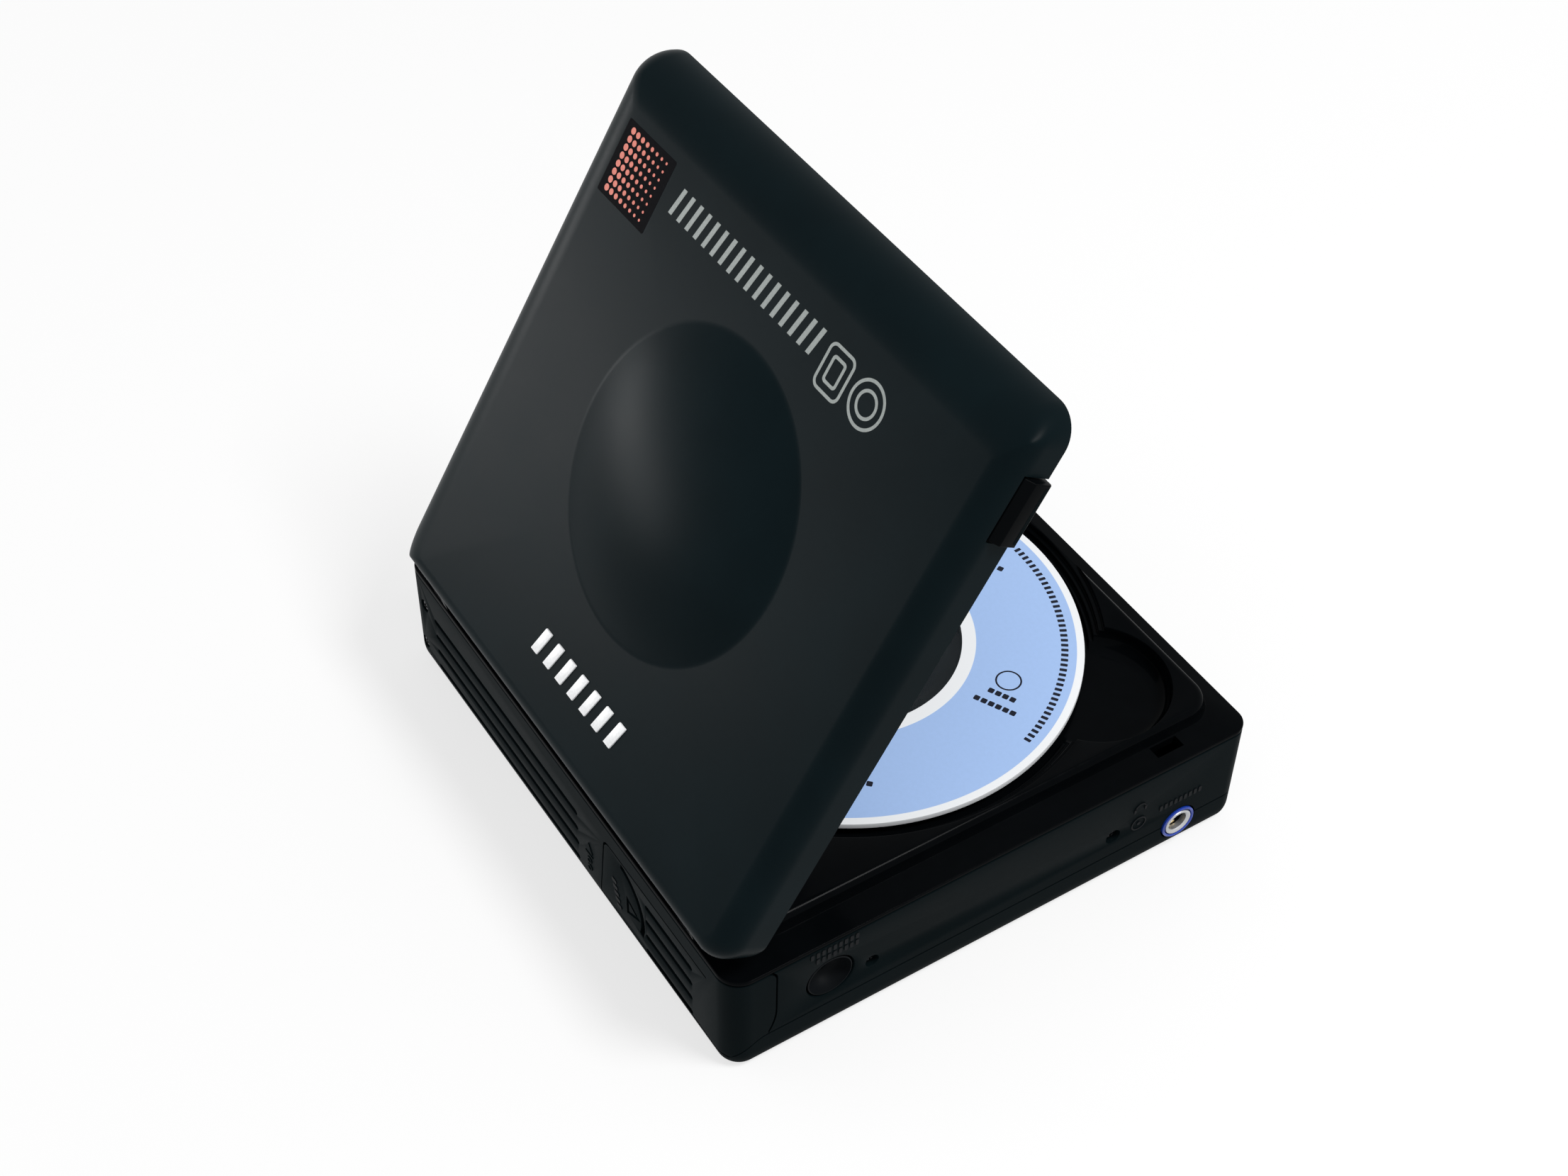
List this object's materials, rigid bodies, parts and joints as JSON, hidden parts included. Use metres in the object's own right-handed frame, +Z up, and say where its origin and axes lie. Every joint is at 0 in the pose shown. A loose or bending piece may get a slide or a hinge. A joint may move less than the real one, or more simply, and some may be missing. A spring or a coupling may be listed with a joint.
{
  "type": "portable cd player",
  "caption": "Pocket disc player: square case, hinged domed lid held open, stepped disc well with a disc on its hub, sliding battery door and side sockets.",
  "frame": {"origin": "on the case's flat underside, below the disc's axis from side to side and halfway from front to back, a foot's height above the ground that the rubber feet stand on", "axes": "+Z up, +Y towards the hinge at the back, the keys on the -Y front wall, the sockets on the -X wall"},
  "size_m": [0.1076, 0.101, 0.1087],
  "materials": {
    "lid": "satin",
    "case": "matte",
    "cover": "matte",
    "gloss": "gloss",
    "dark": "matte",
    "key": "satin",
    "disc": "printed",
    "steel": "bright",
    "zinc": "brushed",
    "brass": "bright",
    "nylon": "natural",
    "rubber": "matte",
    "blue": "satin",
    "battery": "satin",
    "board": "lacquer",
    "glass": "clear",
    "screen": "matte"
  },
  "bodies": {
    "base": {"side_case": "case", "bottom_cover": "cover", "deck": "gloss", "lid_switch": "dark", "spindle_motor": "steel", "chassis_plate": "zinc", "rubber_damper_1": "rubber", "rubber_damper_2": "rubber", "rubber_damper_3": "rubber", "guide_rod_front": "steel", "guide_rod_back": "steel", "feed_gear_post": "steel", "feed_motor": "steel", "battery_pack": "battery", "battery_cradle": "dark", "battery_contact_plus": "brass", "battery_contact_minus": "brass", "dc_jack": "dark", "dc_jack_pin": "steel", "headphone_ring": "blue", "headphone_sleeve": "steel", "headphone_jack_body": "dark", "side_screw_back": "steel", "side_screw_front": "steel", "display_window": "glass", "display_module": "screen", "control_board": "board", "volume_pot": "dark", "main_board": "board", "processor_chip": "dark", "board_capacitor": "steel", "rubber_foot_1": "rubber", "rubber_foot_2": "rubber", "rubber_foot_3": "rubber", "rubber_foot_4": "rubber", "case_screw_1": "steel", "case_screw_2": "steel", "case_screw_3": "steel", "case_screw_4": "steel"},
    "lid": {"lid_shell": "lid", "lid_liner": "gloss", "hinge_pin_left": "steel", "hinge_pin_right": "steel"},
    "latch": {"latch_button": "gloss"},
    "spindle": {"turntable": "dark", "disc_clip": "steel"},
    "disc": {"disc": "disc"},
    "battery_door": {"battery_door": "case"},
    "skip_back_key": {"skip_back_key": "key"},
    "stop_key": {"stop_key": "key"},
    "play_key": {"play_key": "key"},
    "skip_forward_key": {"skip_forward_key": "key"},
    "volume_wheel": {"volume_wheel": "key"},
    "hold_switch": {"hold_switch": "key"},
    "lid_plunger": {"lid_switch_plunger": "gloss"},
    "sled": {"pickup_sled": "dark", "pickup_lens": "glass", "sled_rack": "nylon"},
    "feed_gear": {"feed_gear": "nylon"},
    "motor_pinion": {"motor_pinion": "brass"}
  },
  "joints": [
    {"name": "lid_hinge", "type": "hinge", "parent": "base", "child": "lid", "pos_m": [0.00275, 0.0485, 0.0258], "axis": [-1, 0, 0], "range_deg": [-59.1, 16]},
    {"name": "latch_press", "type": "slide", "parent": "lid", "child": "latch", "axis": [1, 0, 0], "range_m": [0, 0.0008], "stiffness_N_per_m": 600},
    {"name": "spindle_spin", "type": "hinge", "parent": "base", "child": "spindle", "pos_m": [0, -0.0032, 0.0223], "axis": [0, 0, 1], "continuous": true},
    {"name": "disc_lift", "type": "slide", "parent": "spindle", "child": "disc", "axis": [0, 0, 1], "range_m": [0, 0.01]},
    {"name": "battery_door_slide", "type": "slide", "parent": "base", "child": "battery_door", "axis": [-1, 0, 0], "range_m": [0, 0.038]},
    {"name": "skip_back_press", "type": "slide", "parent": "base", "child": "skip_back_key", "axis": [0, 1, 0], "range_m": [0, 0.0005], "stiffness_N_per_m": 600},
    {"name": "stop_press", "type": "slide", "parent": "base", "child": "stop_key", "axis": [0, 1, 0], "range_m": [0, 0.0005], "stiffness_N_per_m": 600},
    {"name": "play_press", "type": "slide", "parent": "base", "child": "play_key", "axis": [0, 1, 0], "range_m": [0, 0.0005], "stiffness_N_per_m": 600},
    {"name": "skip_forward_press", "type": "slide", "parent": "base", "child": "skip_forward_key", "axis": [0, 1, 0], "range_m": [0, 0.0005], "stiffness_N_per_m": 600},
    {"name": "volume_turn", "type": "hinge", "parent": "base", "child": "volume_wheel", "pos_m": [0.0484, 0.014, 0.0121], "axis": [0, 0, 1], "range_deg": [-140, 140]},
    {"name": "hold_slide", "type": "slide", "parent": "base", "child": "hold_switch", "axis": [0, 1, 0], "range_m": [0, 0.003]},
    {"name": "lid_plunger_press", "type": "slide", "parent": "base", "child": "lid_plunger", "axis": [0, 0, -1], "range_m": [0, 0.0007], "stiffness_N_per_m": 300},
    {"name": "sled_feed", "type": "slide", "parent": "base", "child": "sled", "axis": [1, 0, 0], "range_m": [0, 0.014]},
    {"name": "feed_gear_turn", "type": "hinge", "parent": "base", "child": "feed_gear", "pos_m": [0.024, -0.024, 0.0134], "axis": [0, 0, 1], "range_deg": [-202, 2]},
    {"name": "motor_pinion_turn", "type": "hinge", "parent": "base", "child": "motor_pinion", "pos_m": [0.01049, -0.0318, 0.0134], "axis": [0, 0, 1], "range_deg": [-4, 672]}
  ],
  "couplings": [
    {"joint": "feed_gear_turn", "follows": "sled_feed", "rad_per_m": -250},
    {"joint": "motor_pinion_turn", "follows": "sled_feed", "rad_per_m": 833.33}
  ]
}
